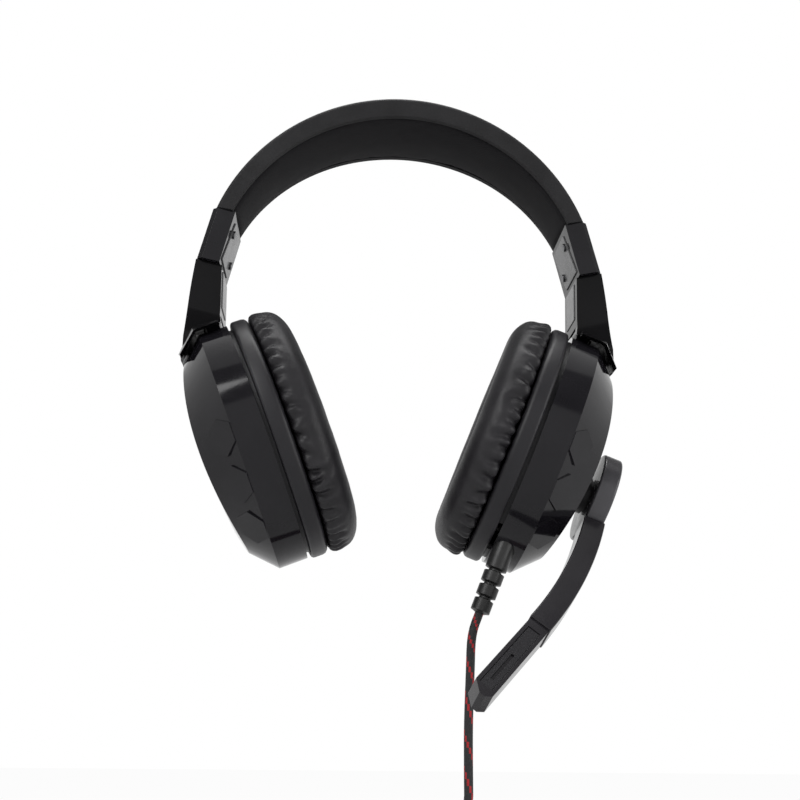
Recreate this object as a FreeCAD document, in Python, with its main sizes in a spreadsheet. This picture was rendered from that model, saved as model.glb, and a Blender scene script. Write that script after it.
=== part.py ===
import FreeCAD, Part
import math
import os
import Sketcher
from FreeCAD import Placement, Rotation, Vector

# Gaming headset. Millimetres, +Z up, the wearer faces -Y, +X is the wearer's left side.
# The origin is the middle of the head pad's underside, where the head carries the headset.

doc = FreeCAD.newDocument("headset")
sizes = doc.addObject("Spreadsheet::Sheet", "sizes")

DRIVING_SIZES = {
    "Headband": dict(
        head_arc_radius=79.5, band_side_thickness=8, band_top_thickness=12, band_width_top=38,
        band_width_end=29, band_end_angle=67.2, cover_lip=2.4, pad_crown=2, pad_thickness=4.2,
        spring_rise=5.8, spring_thickness=0.8, spring_width=15, lead_diameter=1.6, lead_side=10.4,
    ),
    "Slider": dict(
        yoke_tilt=12.7, box_length=25, box_thickness=10.3, box_width=29, box_bevel=2.4,
        tang_length=9, tang_thickness=2.8, tang_width=19, tongue_thickness=1, tongue_width=15,
        tongue_rise=32, tongue_root=14, slider_travel=20, slide_clearance=0.1,
        plate_thickness=1.4, plate_margin=2.5, screw_diameter=2, screw_head=3.6, screw_length=3.6,
        notch_pitch=2.5, notch_diameter=1.6,
    ),
    "Arm": dict(
        arm_thickness=11.6, arm_proud=0.4, arm_width=24, saddle_width=31, hinge_drop=25.1,
        hinge_inset=8, pin_radius=1.5, pin_clearance=0.03, barrel_radius=4.2, barrel_width=16,
        barrel_gap=0.3, saddle_gap=2.4, skirt_thickness=1.8, skirt_depth=4.25, pin_reach=10.5, liner_thickness=1.2, liner_width=15, liner_length=19,
    ),
    "Cup": dict(
        cup_tilt=21.6, hinge_above=4.25, hinge_out=6, cup_height=105.5, cup_width=86, cup_wall=2.2,
        seam_gap=1.6, cup_end_radius=36, side_depth=13, bevel_depth=11, bevel_slope=1.05, saddle_reach=6.95,
        dome_depth=4, roof_lift=-1, roof_radius=165, facet_size=7.8, facet_proud=0.5,
        facet_place=0.42,
        baffle_height=107, baffle_width=88, baffle_thickness=7.5, baffle_round=2.4,
        spigot_depth=4, spigot_clearance=0.15,
    ),
    "Cushion": dict(
        cushion_height=107, cushion_width=88, cushion_thickness=15.2, ear_height=62, ear_width=42,
        cushion_draw=2.6, mesh_thickness=0.6,
    ),
    "Driver": dict(
        driver_diameter=50, driver_depth=5, magnet_diameter=26, magnet_depth=7, dome_rise=3,
        case_screw=2.5, case_screw_head=4.4, case_screw_length=12,
    ),
    "Microphone": dict(
        hub_out=36, hub_drop=10, hub_radius=19.5, hub_thickness=8, base_diameter=16,
        boom_angle=35, boom_width=11, boom_thickness=9, boom_bend_radius=205, boom_straight=85,
        boom_reach=127, capsule_depth=8.2, capsule_width=9, panel_depth=1, capsule_radius=3,
        shaft_diameter=6, shaft_clearance=0.05, washer_thickness=0.5,
    ),
    "Cord": dict(
        cord_diameter=3.5, relief_diameter=9.5, relief_length=27, relief_side=16, relief_out=5.2,
        coil_radius=22, coil_pitch=4.65, coil_height=-340, coil_side=27.2, tie_width=12,
        tie_thickness=1, plug_diameter=10, plug_length=30, jack_diameter=3.5, jack_length=14,
    ),
}


def fill_sheet():
    row = 0
    for group, values in DRIVING_SIZES.items():
        row += 1
        sizes.set(f"A{row}", group)
        for alias, value in values.items():
            row += 1
            sizes.set(f"A{row}", alias.replace("_", " "))
            sizes.set(f"B{row}", str(value))
            sizes.setAlias(f"B{row}", alias)
    doc.recompute()


fill_sheet()


def number(expression):
    """The value of an expression such as 'sizes.cup_height / 2'."""
    return float(sizes.evalExpression(str(expression)))


def bind(thing, **expressions):
    """Set properties and bind them: a double underscore stands for a dot in the path."""
    for path, expression in expressions.items():
        thing.setExpression(path.replace("__", "."), str(expression))


def put(thing, x=0, y=0, z=0, axis=(0, 1, 0), angle=0):
    """Give a thing a bound place: a shift and a turn about one axis."""
    turn = Rotation(Vector(*axis), number(angle) if angle != 0 else 0)
    thing.Placement = Placement(Vector(number(x), number(y), number(z)), turn)
    bind(thing, Placement__Base__x=x, Placement__Base__y=y, Placement__Base__z=z)
    if angle != 0:
        bind(thing, Placement__Rotation__Angle=angle)
    return thing


# Frames of the right-hand (+X) side. The band's ends lie on the spring's arc.
BAND_CENTRE = "(-sizes.head_arc_radius)"
BAND_OUTER = "(sizes.head_arc_radius + sizes.band_side_thickness)"
SPRING_ARC = "(sizes.head_arc_radius + sizes.spring_rise)"
YOKE_X = f"({SPRING_ARC} * sin(sizes.band_end_angle) + sizes.box_length * sin(sizes.yoke_tilt))"
YOKE_Z = (
    f"({BAND_CENTRE} + {SPRING_ARC} * cos(sizes.band_end_angle)"
    " - sizes.box_length * cos(sizes.yoke_tilt))"
)
HINGE_RISE = "(sizes.cup_height / 2 + sizes.hinge_above)"
HINGE_X = (
    f"({YOKE_X} - sizes.hinge_inset * cos(sizes.yoke_tilt)"
    " + sizes.hinge_drop * sin(sizes.yoke_tilt))"
)
HINGE_Z = (
    f"({YOKE_Z} - sizes.hinge_inset * sin(sizes.yoke_tilt)"
    " - sizes.hinge_drop * cos(sizes.yoke_tilt))"
)
CUP_X = (
    f"({HINGE_X} - sizes.hinge_out * cos(sizes.cup_tilt)"
    f" - {HINGE_RISE} * sin(sizes.cup_tilt))"
)
CUP_Z = (
    f"({HINGE_Z} + sizes.hinge_out * sin(sizes.cup_tilt)"
    f" - {HINGE_RISE} * cos(sizes.cup_tilt))"
)


def in_yoke(thing):
    """Yoke frame: origin under the slider box, x outward, z up along the slide."""
    return put(thing, YOKE_X, 0, YOKE_Z, angle="-sizes.yoke_tilt")


def in_cup(thing):
    """Cup frame: origin in the seam's plane at mid height, x outward, z up the cup."""
    return put(thing, CUP_X, 0, CUP_Z, angle="sizes.cup_tilt")


def in_hub(thing):
    """Boom frame inside the cup frame: x outward, the boom runs along -z."""
    return put(thing, "sizes.hub_out", 0, "-sizes.hub_drop", (1, 0, 0), "-sizes.boom_angle")


# Building blocks.
def body(name):
    return doc.addObject("PartDesign::Body", name)


def arc_between(start, end, radius, side):
    """Centre and angles of the arc from start to end; side +1 keeps the centre on the left."""
    chord = end - start
    half = chord.Length / 2
    normal = Vector(-chord.y, chord.x, 0).normalize() * side
    centre = (start + end) / 2 + normal * math.sqrt(max(radius**2 - half**2, 0))
    first, last = (start, end) if side > 0 else (end, start)
    angle_of = lambda point: math.atan2(point.y - centre.y, point.x - centre.x)
    return Part.ArcOfCircle(Part.Circle(centre, Vector(0, 0, 1), radius), angle_of(first), angle_of(last))


def outline(owner, name, plane, corners, offset=None):
    """A closed, fully bound sketch. Each corner is (x, y) or (x, y, radius, side) for an arc to the next."""
    sketch = owner.newObject("Sketcher::SketchObject", name)
    support = next(item for item in owner.Origin.OriginFeatures if item.Role == plane)
    sketch.AttachmentSupport = [(support, "")]
    sketch.MapMode = "FlatFace"
    if offset is not None:
        bind(sketch, AttachmentOffset__Base__z=offset)
    points = [Vector(number(corner[0]), number(corner[1]), 0) for corner in corners]
    ends = []
    for index, corner in enumerate(corners):
        start, end = points[index], points[(index + 1) % len(points)]
        if len(corner) == 2:
            sketch.addGeometry(Part.LineSegment(start, end), False)
            ends.append((1, 2))
        else:
            sketch.addGeometry(arc_between(start, end, number(corner[2]), corner[3]), False)
            ends.append((1, 2) if corner[3] > 0 else (2, 1))
    for index in range(len(corners)):
        after = (index + 1) % len(corners)
        sketch.addConstraint(Sketcher.Constraint("Coincident", index, ends[index][1], after, ends[after][0]))
    for index, corner in enumerate(corners):
        for kind, value, expression in (
            ("DistanceX", points[index].x, corner[0]),
            ("DistanceY", points[index].y, corner[1]),
        ):
            made = sketch.addConstraint(Sketcher.Constraint(kind, -1, 1, index, ends[index][0], value))
            bind(sketch, **{f"Constraints[{made}]": expression})
        if len(corner) > 2:
            made = sketch.addConstraint(Sketcher.Constraint("Radius", index, number(corner[2])))
            bind(sketch, **{f"Constraints[{made}]": corner[2]})
    return sketch


def pad(owner, name, sketch, length, side="Symmetric", reverse=False):
    feature = owner.newObject("PartDesign::Pad", name)
    feature.Profile = sketch
    feature.SideType = side
    feature.Reversed = reverse
    bind(feature, Length=length)
    return feature


def pocket(owner, name, sketch, length, side="Symmetric", reverse=False):
    feature = owner.newObject("PartDesign::Pocket", name)
    feature.Profile = sketch
    feature.SideType = side
    feature.Reversed = reverse
    bind(feature, Length=length)
    return feature


def slab(name, plane, corners, length, offset=None):
    """A body of one outline, thickened evenly both ways."""
    owner = body(name)
    pad(owner, name + "_pad", outline(owner, name + "_outline", plane, corners, offset), length)
    return owner


def turned(name, corners, plane="XZ_Plane", axis="Z_Axis"):
    """A body of one outline revolved about an axis of its own."""
    owner = body(name)
    sketch = outline(owner, name + "_outline", plane, corners)
    feature = owner.newObject("PartDesign::Revolution", name + "_turn")
    feature.Profile = sketch
    feature.ReferenceAxis = (next(f for f in owner.Origin.OriginFeatures if f.Role == axis), [""])
    feature.Angle = 360
    return owner


def block(name, x, y, z, length, width, height):
    """A box about the middle of its length and width, from z up."""
    thing = doc.addObject("Part::Box", name)
    bind(thing, Length=length, Width=width, Height=height)
    return put(thing, f"({x}) - ({length}) / 2", f"({y}) - ({width}) / 2", z)


def rod(name, radius, height, x=0, y=0, z=0, axis=(0, 1, 0), angle=0):
    thing = doc.addObject("Part::Cylinder", name)
    bind(thing, Radius=radius, Height=height)
    return put(thing, x, y, z, axis, angle)


def cut(name, base, *tools):
    """The base less each tool in turn."""
    for index, tool in enumerate(tools):
        result = doc.addObject("Part::Cut", name if index == len(tools) - 1 else f"{name}_cut_{index}")
        result.Base = base
        result.Tool = tool
        base = result
    return result


def fuse(name, *things):
    result = doc.addObject("Part::MultiFuse", name)
    result.Shapes = list(things)
    return result


def common(name, *things):
    result = doc.addObject("Part::MultiCommon", name)
    result.Shapes = list(things)
    return result


def group(name, *things):
    result = doc.addObject("Part::Compound", name)
    result.Links = list(things)
    return result


def oval_corners(height, width, end_radius):
    """A four-arc oval standing across the cup's x axis, as (y, z) corners."""
    tall = f"(({height}) / 2)"
    wide = f"(({width}) / 2)"
    rise = f"({tall} - ({end_radius}))"
    shift = f"(({rise}^2 - ({wide} - ({end_radius}))^2) / (2 * ({wide} - ({end_radius}))))"
    side_radius = f"({wide} + {shift})"
    between = f"sqrt({shift}^2 + {rise}^2)"
    y = f"({side_radius} * {shift} / {between} - {shift})"
    z = f"({side_radius} * {rise} / {between})"
    return [
        (y, f"-{z}", side_radius, 1),
        (y, z, f"({end_radius})", 1),
        (f"-{y}", z, side_radius, 1),
        (f"-{y}", f"-{z}", f"({end_radius})", 1),
    ]


def oval_end(height):
    """End radius of an oval that runs parallel to the housing's."""
    return f"(sizes.cup_end_radius + (({height}) - sizes.cup_height) / 2)"


def oval_stack(name, sections):
    """A solid with flat-sided bands through ovals, given as (x, height, width)."""
    owner = body(name + "_ovals")
    rings = [
        outline(owner, f"{name}_oval_{index}", "YZ_Plane", oval_corners(tall, wide, oval_end(tall)), x)
        for index, (x, tall, wide) in enumerate(sections)
    ]
    thing = doc.addObject("Part::Loft", name)
    thing.Sections = rings
    thing.Solid = True
    thing.Ruled = True
    return thing


def oval_slab(name, start, end, height, width):
    """An upright oval plate from one station along x to another."""
    owner = body(name)
    sketch = outline(owner, name + "_oval", "YZ_Plane", oval_corners(height, width, oval_end(height)), start)
    pad(owner, name + "_pad", sketch, f"({end}) - ({start})", "One side")
    return owner


def rounded(name, base, radius, picks):
    """Fillet the base's edges that a test on the edge picks."""
    doc.recompute()
    thing = doc.addObject("Part::Fillet", name)
    thing.Base = base
    size = number(radius)
    thing.Edges = [(i + 1, size, size) for i, edge in enumerate(base.Shape.Edges) if picks(edge)]
    return thing


HAND_IN = []


def hand_in(label, thing):
    thing.Label = label
    HAND_IN.append(thing)
    return thing


def both_sides(label, thing):
    """Hand in a right-hand piece and its mirror image on the left."""
    hand_in(label + "_right", thing)
    twin = doc.addObject("Part::Mirroring", label + "_twin")
    twin.Source = thing
    twin.Normal = Vector(1, 0, 0)
    hand_in(label + "_left", twin)
    return thing


# Headband: a padded sleeve over a spring strip, with a crowned pad let into its underside.
def band_plan(name, inset):
    """Plan of the band, widest at the top of the head, drawn in by an inset."""
    reach = BAND_OUTER
    half = f"(sizes.band_width_end / 2 - {inset})"
    swell = "((sizes.band_width_top - sizes.band_width_end) / 2)"
    radius = f"(({reach}^2 + {swell}^2) / (2 * {swell}))"
    corners = [
        (f"-{reach}", f"-{half}", radius, 1),
        (reach, f"-{half}"),
        (reach, half, radius, 1),
        (f"-{reach}", half),
    ]
    return slab(name, "XY_Plane", corners, "4 * sizes.head_arc_radius")


def band_drum(name, radius, centre):
    """A full drum across the head, wider than the band."""
    width = "(sizes.band_width_top * 1.2)"
    return rod(name, radius, width, 0, f"{width} / 2", centre, (1, 0, 0), 90)


def band_sector(name, outer, inner, angle, width):
    """A strip bent about the band's centre, as far as an angle each side of the top."""
    corners = [
        (f"-({outer}) * sin({angle})", f"({outer}) * cos({angle})", outer, -1),
        (f"({outer}) * sin({angle})", f"({outer}) * cos({angle})"),
        (f"({inner}) * sin({angle})", f"({inner}) * cos({angle})", inner, 1),
        (f"-({inner}) * sin({angle})", f"({inner}) * cos({angle})"),
    ]
    return slab(name, "XZ_Plane", corners, width)


def below_band():
    """Everything under the band's end faces, as three tools."""
    middle = block(
        "under_head", 0, 0, "-4 * sizes.head_arc_radius", "4 * sizes.head_arc_radius",
        "2 * sizes.band_width_top", f"4 * sizes.head_arc_radius + {YOKE_Z}",
    )
    end = block(
        "band_end_block", 0, 0, "-sizes.box_length", "6 * sizes.box_thickness",
        "2 * sizes.band_width_top", "2 * sizes.box_length",
    )
    right = in_yoke(group("band_end_right", end))
    left = doc.addObject("Part::Mirroring", "band_end_left")
    left.Source = right
    left.Normal = Vector(1, 0, 0)
    return middle, right, left


TANG_ROOM = 0.15
OUTER_CENTRE = f"(sizes.band_top_thickness - {BAND_OUTER})"
STRIP_REACH = f"(sizes.band_end_angle - deg_of_tang)".replace(
    "deg_of_tang", f"(sizes.tang_length + 2) / {SPRING_ARC} * 57.2958"
)


def make_headband():
    under = below_band()
    crescent = cut(
        "band_crescent",
        band_drum("band_outer_drum", BAND_OUTER, OUTER_CENTRE),
        band_drum("band_inner_drum", "sizes.head_arc_radius + sizes.pad_crown", BAND_CENTRE),
    )
    shell = cut("band_shell", common("band_shaped", crescent, band_plan("band_edge", 0)), *under)
    top = number("sizes.band_top_thickness")
    soft = rounded(
        "band_soft", shell, "sizes.cover_lip",
        lambda edge: edge.Length > 150 and edge.BoundBox.ZMax > top - 2,
    )
    seat = common(
        "pad_seat",
        band_drum("pad_seat_drum", "sizes.head_arc_radius + sizes.pad_thickness", BAND_CENTRE),
        band_plan("pad_seat_plan", "sizes.cover_lip"),
    )
    room = "sizes.slide_clearance"
    half_strip = "sizes.spring_thickness / 2"
    slot = put(band_sector(
        "spring_slot", f"{SPRING_ARC} + {half_strip} + {room}", f"{SPRING_ARC} - {half_strip} - {room}",
        f"{STRIP_REACH} + 0.5", f"sizes.spring_width + 2 * {room}",
    ), 0, 0, BAND_CENTRE)
    spring = put(band_sector(
        "spring_strip", f"{SPRING_ARC} + {half_strip}", f"{SPRING_ARC} - {half_strip}",
        STRIP_REACH, "sizes.spring_width",
    ), 0, 0, BAND_CENTRE)
    lead_tube = lambda name, room: put(band_sector(
        name, f"{SPRING_ARC} + sizes.lead_diameter / 2 + {room}",
        f"{SPRING_ARC} - sizes.lead_diameter / 2 - {room}", f"{STRIP_REACH} + {room} * 2",
        f"sizes.lead_diameter + 2 * {room}",
    ), 0, "sizes.lead_side", BAND_CENTRE)
    pocket_right = in_yoke(group("tang_pocket_right", block(
        "tang_pocket", 0, 0, "sizes.box_length - 1", f"sizes.tang_thickness + 2 * {TANG_ROOM}",
        f"sizes.tang_width + 2 * {TANG_ROOM}", "sizes.tang_length + 1.5",
    )))
    pocket_left = doc.addObject("Part::Mirroring", "tang_pocket_left")
    pocket_left.Source = pocket_right
    pocket_left.Normal = Vector(1, 0, 0)
    cover = cut("band_cover", soft, seat, slot, lead_tube("lead_channel", room), pocket_right, pocket_left)
    hand_in("headband_cover", cover)
    hand_in("headband_spring", spring)
    lead = lead_tube("crossover", 0)
    hand_in("crossover_lead", lead)

    half = f"(sizes.band_width_top / 2 - sizes.cover_lip)"
    edge = "(sizes.pad_crown - 0.2)"
    crown = f"(({half}^2 + {edge}^2) / (2 * {edge}))"
    top_line = "(sizes.head_arc_radius + sizes.pad_thickness)"
    edge_line = f"(sizes.head_arc_radius + {edge})"
    ring = turned("pad_ring", [
        (f"-{half}", top_line),
        (half, top_line),
        (half, edge_line, crown, -1),
        (f"-{half}", edge_line),
    ], "YZ_Plane", "Y_Axis")
    put(ring, 0, 0, BAND_CENTRE)
    plan = band_plan("pad_plan", "(sizes.cover_lip + 0.15)")
    hand_in("headband_pad", cut("pad_cut", common("pad_body", ring, plan), *under))


make_headband()


# Slider: a box on each end of the band, a steel tongue that clicks through it, and its cover.
BOX_INNER = "(-sizes.box_thickness / 2)"
PLATE_PROUD = 0.5
SCREW_SPOTS = ((-0.22, 0.70), (0.22, 0.32))


def plate_outline(margin):
    """The slanted cover plate on the box's inner face, as (y, z) corners."""
    wide = "(sizes.box_width / 2 - sizes.plate_margin)"
    slant = "sizes.plate_margin * 1.6"
    low = f"sizes.plate_margin - {margin}"
    high = f"sizes.box_length - sizes.plate_margin + {margin}"
    return [
        (f"-{wide} - {margin}", low),
        (f"{wide} - {slant} + {margin}", low),
        (f"{wide} + {margin}", high),
        (f"-{wide} + {slant} - {margin}", high),
    ]


def make_slider():
    half = "(sizes.box_width / 2)"
    outer = "(sizes.box_thickness / 2)"
    shell = slab("box_shell", "XY_Plane", [
        (BOX_INNER, f"-{half}"),
        (f"{outer} - sizes.box_bevel", f"-{half}"),
        (outer, f"-{half} + sizes.box_bevel"),
        (outer, f"{half} - sizes.box_bevel"),
        (f"{outer} - sizes.box_bevel", half),
        (BOX_INNER, half),
    ], "sizes.box_length", "sizes.box_length / 2")
    tang = block(
        "box_tang", 0, 0, "sizes.box_length - 2", "sizes.tang_thickness", "sizes.tang_width",
        "sizes.tang_length + 2",
    )
    channel = block(
        "tongue_channel", 0, 0, -1, "sizes.tongue_thickness + 2 * sizes.slide_clearance",
        "sizes.tongue_width + 2 * sizes.slide_clearance",
        "sizes.box_length + sizes.tang_length + 2",
    )
    seat_face = f"({BOX_INNER} - {PLATE_PROUD} + sizes.plate_thickness)"
    seat = slab("plate_seat", "YZ_Plane", plate_outline(0.1), "2 * sizes.plate_thickness",
                f"{seat_face} - sizes.plate_thickness")
    face = "(sizes.tongue_thickness / 2 + sizes.slide_clearance)"
    leaf_room = block(
        "leaf_room", f"{face} + 1", 0, "sizes.box_length * 0.24", 2.2, 6.6, "sizes.box_length * 0.56",
    )
    plate = slab("cover_plate", "YZ_Plane", plate_outline(0), "sizes.plate_thickness",
                 f"{seat_face} - sizes.plate_thickness / 2")
    screws = []
    holes = []
    for index, (side, height) in enumerate(SCREW_SPOTS):
        y = f"{side} * sizes.box_width"
        z = f"{height} * sizes.box_length"
        front = f"{BOX_INNER} - {PLATE_PROUD}"
        shank = rod(f"plate_shank_{index}", "sizes.screw_diameter / 2", "sizes.screw_length",
                    front, y, z, (0, 1, 0), 90)
        head = rod(f"plate_head_{index}", "sizes.screw_head / 2", 0.9, f"{front} - 0.9", y, z, (0, 1, 0), 90)
        screws.append(fuse(f"plate_screw_{index}", shank, head))
        holes.append(rod(f"plate_hole_{index}", "sizes.screw_diameter / 2 + 0.02", "sizes.screw_length + 1.2",
                         f"{front} - 1", y, z, (0, 1, 0), 90))
    drilled = group("plate_holes", *holes)
    box = cut("box_cut", fuse("box_solid", shell, tang), channel, seat, leaf_room, drilled)
    both_sides("slider_box", in_yoke(box))
    both_sides("slider_cover", in_yoke(cut("plate_cut", plate, drilled)))
    both_sides("slider_screws", in_yoke(group("screw_pair", *screws)))

    rise = 1.5
    span = "(sizes.box_length * 0.22)"
    back = f"({face} + 1.9)"
    bend = f"(({span}^2 + {rise}^2) / (2 * {rise}))"
    middle = "(sizes.box_length * 0.52)"
    leaf = slab("leaf_strip", "XZ_Plane", [
        (back, f"{middle} - {span}", bend, -1),
        (back, f"{middle} + {span}"),
        (f"{back} - 0.4", f"{middle} + {span}", bend, 1),
        (f"{back} - 0.4", f"{middle} - {span}"),
    ], 6)
    both_sides("detent_leaf", in_yoke(leaf))

    strip = block("tongue_strip", 0, 0, "-sizes.tongue_root", "sizes.tongue_thickness", "sizes.tongue_width",
                  "sizes.tongue_rise + sizes.tongue_root")
    notches = []
    for index in range(int(number("sizes.slider_travel / sizes.notch_pitch")) + 1):
        notches.append(rod(
            f"notch_{index}", "sizes.notch_diameter / 2", "4 * sizes.tongue_thickness",
            "-2 * sizes.tongue_thickness", 0,
            f"sizes.box_length * 0.52 + {index} * sizes.notch_pitch - 2", (0, 1, 0), 90,
        ))
    tongue = cut("tongue_cut", strip, group("notches", *notches))
    both_sides("slider_tongue", in_yoke(tongue))


make_slider()


# The housing's outer form, from which the saddle, the cavity and the shell are all made.
SEAM = "(sizes.seam_gap / 2)"
BEVEL_END = "(sizes.side_depth + sizes.bevel_depth)"
DOME_END = f"({BEVEL_END} + sizes.dome_depth)"
FACET_ANGLES = (46, 66, 86)


def roof_station(away, wall="0"):
    """Where the arched outer face lies, at a height away from its crown."""
    radius = f"(sizes.roof_radius - {wall})"
    return f"({DOME_END} - sizes.roof_radius + sqrt({radius}^2 - ({away})^2))"


def housing_form(name, wall):
    """The housing's outer form, or with a wall its cavity: a bevelled oval under a two-sided roof."""
    start = SEAM if wall == "0" else f"({SEAM} - 1)"
    top = f"({DOME_END} - {wall})"
    side = f"(sizes.side_depth - 0.4 * {wall})"
    lean = f"(2 * ({top} - {side}) * sizes.bevel_slope)"
    tall = f"(sizes.cup_height - 2 * {wall})"
    wide = f"(sizes.cup_width - 2 * {wall})"
    base = oval_stack(name + "_block", [
        (start, tall, wide),
        (side, tall, wide),
        (top, f"({tall} - {lean})", f"({wide} - {lean})"),
    ])
    high = "(sizes.cup_height / 2 + 8)"
    radius = f"(sizes.roof_radius - {wall})"
    roof = slab(name + "_roof", "XZ_Plane", [
        (roof_station(f"{high} - sizes.roof_lift", wall), high, radius, -1),
        (roof_station(f"{high} + sizes.roof_lift", wall), f"-{high}"),
        (f"{top} + 20", f"-{high}"),
        (f"{top} + 20", high),
    ], "2 * sizes.cup_width")
    return cut(name, base, roof)


# Arm: runs from the slider box down to a saddle that stands clear over the cup's top.
TURN = "(sizes.cup_tilt + sizes.yoke_tilt)"


def over_cup(out, up):
    """A point given from the hinge in the cup's directions, in the yoke frame."""
    return (
        f"(-sizes.hinge_inset + ({out}) * cos({TURN}) + ({up}) * sin({TURN}))",
        f"(-sizes.hinge_drop - ({out}) * sin({TURN}) + ({up}) * cos({TURN}))",
    )


def along(start, end, share, lift):
    """A point part of the way from start to end, lifted square to the line, to its left."""
    run = f"(({end[0]}) - ({start[0]}))"
    climb = f"(({end[1]}) - ({start[1]}))"
    length = f"sqrt({run}^2 + {climb}^2)"
    return (
        f"({start[0]}) + {run} * {share} - ({lift}) * {climb} / {length}",
        f"({start[1]}) + {climb} * {share} + ({lift}) * {run} / {length}",
    )


ARM_TOP = -0.2
ARM_OUTER = "(sizes.box_thickness / 2 + sizes.arm_proud)"
ARM_INNER = f"({ARM_OUTER} - sizes.arm_thickness)"


def make_arm():
    tip_up = "(sizes.cup_height / 2 - sizes.saddle_reach)"
    tip = over_cup(f"{roof_station(f'{tip_up} - sizes.roof_lift')} - sizes.hinge_out",
                   f"{tip_up} - {HINGE_RISE}")
    knee = ("(-sizes.hinge_inset - 3)", "(-sizes.hinge_drop + 6)")
    top_in = (ARM_INNER, ARM_TOP)
    profile = slab("arm_profile", "XZ_Plane", [
        (ARM_OUTER, ARM_TOP, 300, -1),
        tip,
        over_cup(8, "-sizes.saddle_gap * 6"),
        over_cup(-2.4, "-sizes.saddle_gap * 4"),
        over_cup(-4.4, -0.4),
        knee, top_in,
    ], "2 * sizes.saddle_width")
    narrow = "(sizes.arm_width / 2)"
    broad = "(sizes.saddle_width / 2)"
    low = "-sizes.hinge_drop"
    face = slab("arm_face", "YZ_Plane", [
        (f"-{narrow}", 1), (f"-{narrow}", f"{low} + 3", 40, -1), (f"-{broad}", f"{low} - 12"),
        (f"-{broad}", f"{low} - 30"), (broad, f"{low} - 30"), (broad, f"{low} - 12", 40, -1),
        (narrow, f"{low} + 3"), (narrow, 1),
    ], "8 * sizes.arm_thickness")
    over = housing_form("saddle_clear", "(-sizes.saddle_gap)")
    cup_x, cup_z = over_cup("-sizes.hinge_out", f"-{HINGE_RISE}")
    clear = put(group("saddle_clear_hung", over), cup_x, 0, cup_z, angle=TURN)
    hinge = ("-sizes.hinge_inset", "-sizes.hinge_drop")
    skin = housing_form("saddle_skin", "(-sizes.saddle_gap - sizes.skirt_thickness)")
    skin_hung = put(group("saddle_skin_hung", skin), cup_x, 0, cup_z, angle=TURN)
    skirt_low = "(-sizes.hinge_above - sizes.skirt_depth)"
    skirt_area = slab("skirt_area", "XZ_Plane", [
        over_cup(-2.4, 2), over_cup(-2.4, skirt_low),
        over_cup("sizes.side_depth - sizes.hinge_out", skirt_low),
        over_cup("sizes.side_depth - sizes.hinge_out + 10", f"{skirt_low} - 6"),
        over_cup("sizes.side_depth - sizes.hinge_out + 13", f"{skirt_low} + 4"), over_cup(8, 2),
    ], "2 * sizes.saddle_width")
    skirt = common("skirt", skin_hung, skirt_area)
    slot_width = "(sizes.barrel_width + 2 * sizes.barrel_gap)"
    slot = rod("barrel_slot", "sizes.barrel_radius + 0.6", slot_width, hinge[0], f"{slot_width} / 2", hinge[1],
               (1, 0, 0), 90)
    bore = rod("arm_pin_bore", "sizes.pin_radius", "sizes.saddle_width + sizes.pin_reach", hinge[0], "sizes.saddle_width",
               hinge[1], (1, 0, 0), 90)
    root = block("tongue_socket", 0, 0, "-sizes.tongue_root", "sizes.tongue_thickness", "sizes.tongue_width",
                 "sizes.tongue_root + 1")

    def liner(name, room):
        corners = [
            along(top_in, knee, 0.06, -0.4), along(top_in, knee, 0.94, -0.4),
            along(top_in, knee, 0.94, f"sizes.liner_thickness - 0.4 + {room}"),
            along(top_in, knee, 0.06, f"sizes.liner_thickness - 0.4 + {room}"),
        ]
        return slab(name, "XZ_Plane", corners, f"sizes.liner_width + 2 * {room}")

    whole = common("arm_whole", profile, face)
    arm = cut("arm_cut", fuse("arm_solid", whole, skirt), clear, slot, bore, root, liner("liner_seat", 0.05))
    both_sides("yoke_arm", in_yoke(arm))
    both_sides("arm_liner", in_yoke(liner("liner_strip", 0)))
    pin = rod("pin_rod", "sizes.pin_radius", "2 * sizes.pin_reach", hinge[0], "sizes.pin_reach", hinge[1],
              (1, 0, 0), 90)
    both_sides("hinge_pin", in_yoke(group("pin_set", pin)))


make_arm()


# Cup: a faceted housing on the outside, the baffle plate with the driver, and the ear cushion.
def facet(index, angle, side):
    """A flat raised hexagon on the housing's bevel, at an angle from its lowest point."""
    end_radius = number("sizes.cup_end_radius")
    rise = number("sizes.cup_height") / 2 - end_radius
    spare = number("sizes.cup_width") / 2 - end_radius
    shift = (rise**2 - spare**2) / (2 * spare)
    at_end = angle < math.degrees(math.atan2(shift, rise))
    centre = Vector(0, 0, -rise) if at_end else Vector(0, -side * shift, 0)
    reach = end_radius if at_end else spare + end_radius + shift
    turn = math.radians(angle)
    radial = Vector(0, side * math.sin(turn), -math.cos(turn))
    slope = number("sizes.bevel_slope")
    middle = number("sizes.bevel_depth * sizes.facet_place")
    spot = centre + radial * (reach - slope * middle) + Vector(number("sizes.side_depth") + middle, 0, 0)
    out = (radial + Vector(slope, 0, 0)).normalize()
    row = radial.cross(Vector(1, 0, 0))
    thing = doc.addObject("Part::Prism", f"facet_{index}")
    thing.Polygon = 6
    bind(thing, Circumradius="sizes.facet_size", Height="4 * sizes.facet_proud")
    base = spot - out * number("3 * sizes.facet_proud")
    thing.Placement = Placement(base, Rotation(row, out.cross(row), out, "ZXY"))
    return thing


CASE_SCREWS = [(y, z) for y in (-0.3, 0.3) for z in (-0.3, 0.3)]
END_RISE = "(sizes.cup_height / 2 - sizes.cup_end_radius)"
WALL_LOW = f"(-{END_RISE} - sqrt(sizes.cup_end_radius^2 - sizes.relief_side^2))"


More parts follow.
